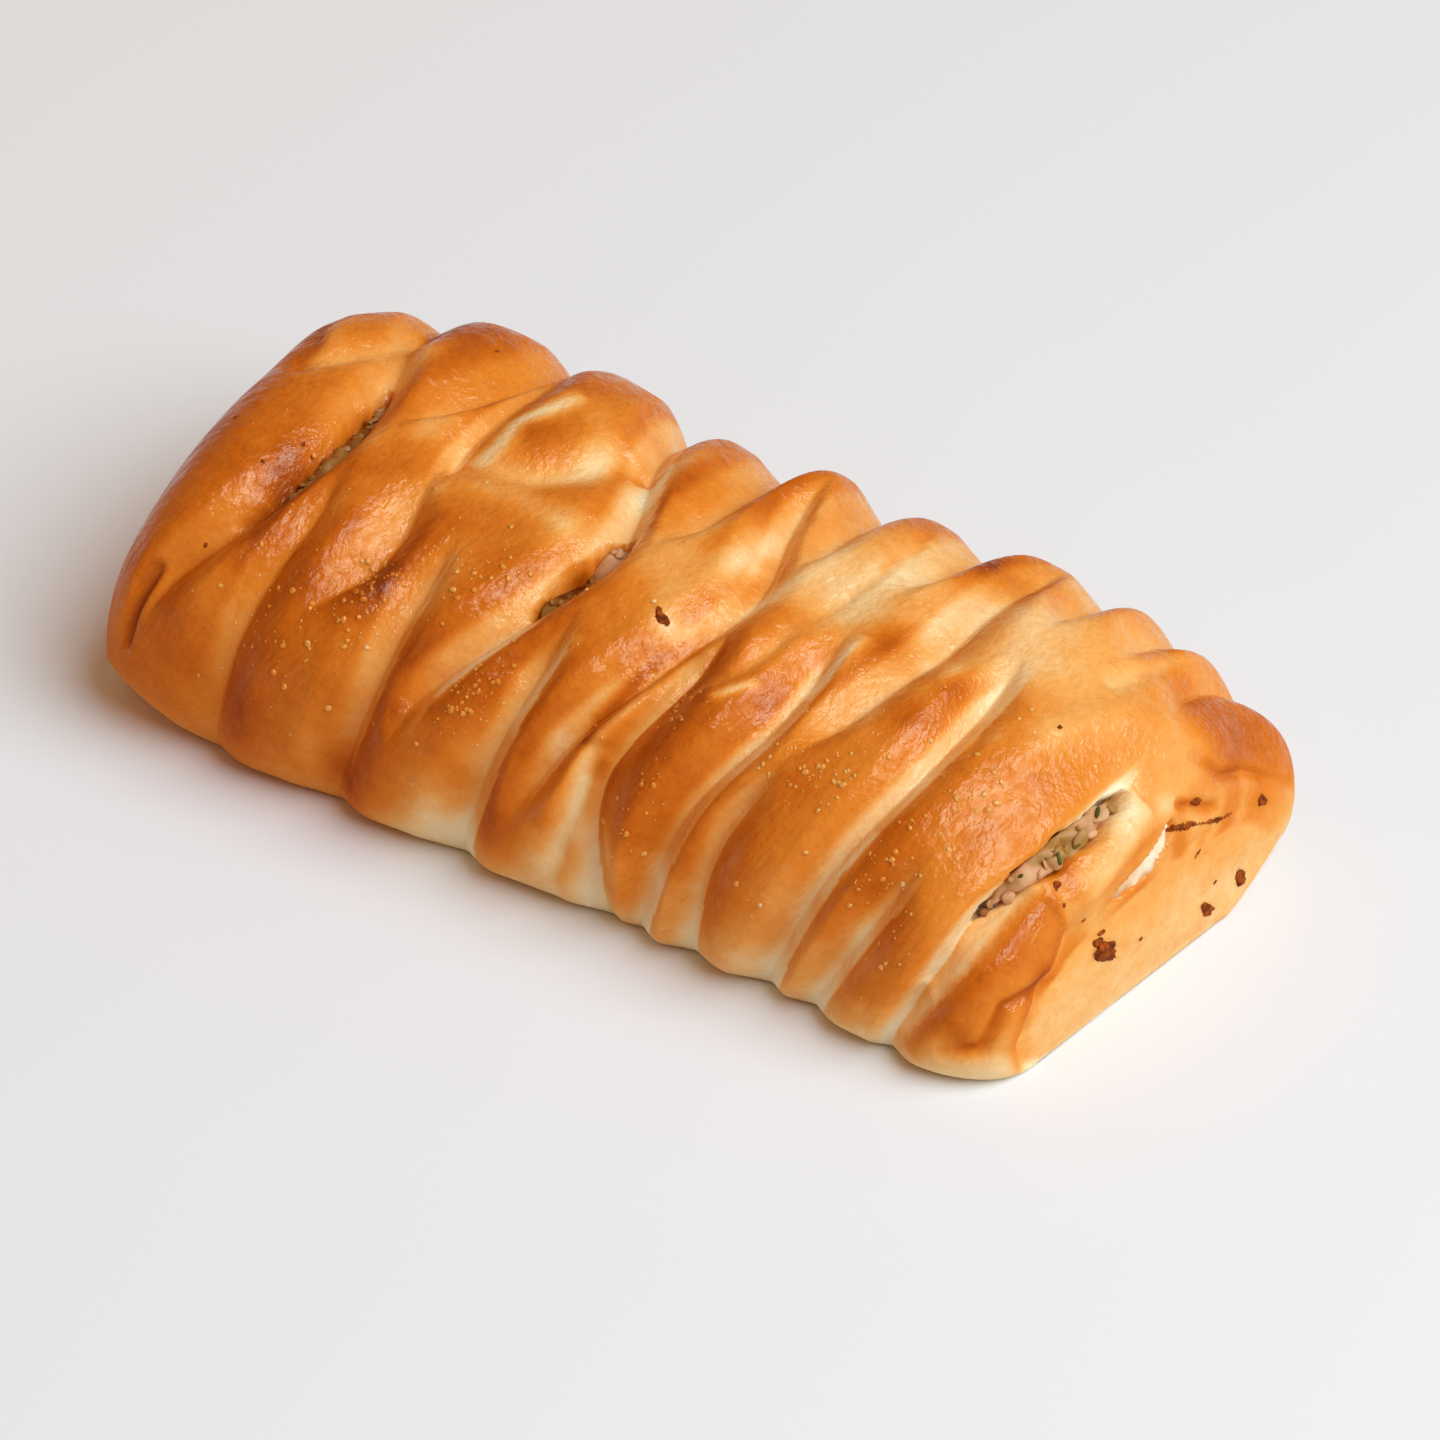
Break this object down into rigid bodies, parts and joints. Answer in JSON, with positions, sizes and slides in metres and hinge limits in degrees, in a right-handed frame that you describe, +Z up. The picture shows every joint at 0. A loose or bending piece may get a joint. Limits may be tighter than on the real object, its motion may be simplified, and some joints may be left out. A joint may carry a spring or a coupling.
{
  "type": "calzone",
  "caption": "Baked calzone: a long rounded loaf of glazed golden dough wrapped in slanting slit strands, with savoury filling showing through the parted slits.",
  "frame": {"origin": "middle of the base, on the surface that the calzone lies on", "axes": "+X along the loaf towards the end with the pale upright wall, -Y towards the near long side, +Z up"},
  "size_m": [0.1746, 0.0878, 0.0438],
  "materials": {
    "dough": "baked dough, golden brown on the raised lips and pale in the slits, with a thin glossy egg glaze",
    "filling": "moist minced meat and cheese with flecks of green herb"
  },
  "bodies": {
    "root": {"dough": "dough", "filling": "filling"}
  },
  "joints": []
}
